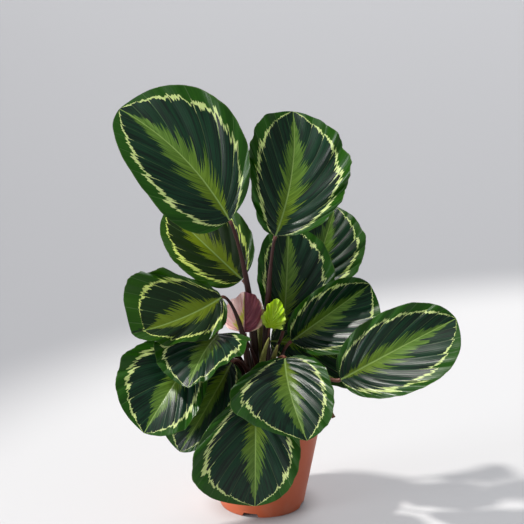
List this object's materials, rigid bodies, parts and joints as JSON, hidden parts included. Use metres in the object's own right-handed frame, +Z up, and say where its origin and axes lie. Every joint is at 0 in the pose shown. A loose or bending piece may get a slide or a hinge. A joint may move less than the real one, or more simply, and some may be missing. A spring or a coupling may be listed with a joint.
{
  "type": "potted calathea",
  "caption": "Calathea houseplant in a tapered nursery pot: broad dark leaves with a pale jagged ring and a feathered middle on maroon stalks rising from filled soil.",
  "frame": {"origin": "at the height of the pot's foot, under the middle of the whole plant's box", "axes": "+Z up along the plant's height, +X to the picture's right, +Y away from its viewer; the pot's axis stands 24 mm towards -X and 23 mm towards +Y of the origin"},
  "size_m": [0.3508, 0.2314, 0.4377],
  "materials": {
    "pot_plastic": "matte",
    "soil": "matte",
    "leaf_green": "satin",
    "stalk_maroon": "satin",
    "leaf_mauve": "satin",
    "leaf_lime": "satin",
    "sheath_olive": "satin",
    "dry_brown": "matte"
  },
  "bodies": {
    "root": {"pot": "pot_plastic", "soil": "soil", "blade_a": "leaf_green", "petiole_a": "stalk_maroon", "blade_b": "leaf_green", "petiole_b": "stalk_maroon", "blade_c": "leaf_green", "petiole_c": "stalk_maroon", "blade_d": "leaf_green", "petiole_d": "stalk_maroon", "blade_e": "leaf_green", "petiole_e": "stalk_maroon", "blade_f": "leaf_green", "petiole_f": "stalk_maroon", "blade_g": "leaf_green", "petiole_g": "stalk_maroon", "blade_h": "leaf_green", "petiole_h": "stalk_maroon", "blade_i": "leaf_green", "petiole_i": "stalk_maroon", "blade_j": "leaf_green", "petiole_j": "stalk_maroon", "blade_k": "leaf_green", "petiole_k": "stalk_maroon", "blade_l": "leaf_green", "petiole_l": "stalk_maroon", "blade_m": "leaf_green", "petiole_m": "stalk_maroon", "blade_n": "leaf_green", "petiole_n": "stalk_maroon", "blade_young_mauve": "leaf_mauve", "petiole_young_mauve": "stalk_maroon", "blade_young_lime": "leaf_lime", "petiole_young_lime": "stalk_maroon", "sheath_1": "sheath_olive", "sheath_2": "sheath_olive", "sheath_3": "sheath_olive", "dry_stalk": "dry_brown"}
  },
  "joints": []
}
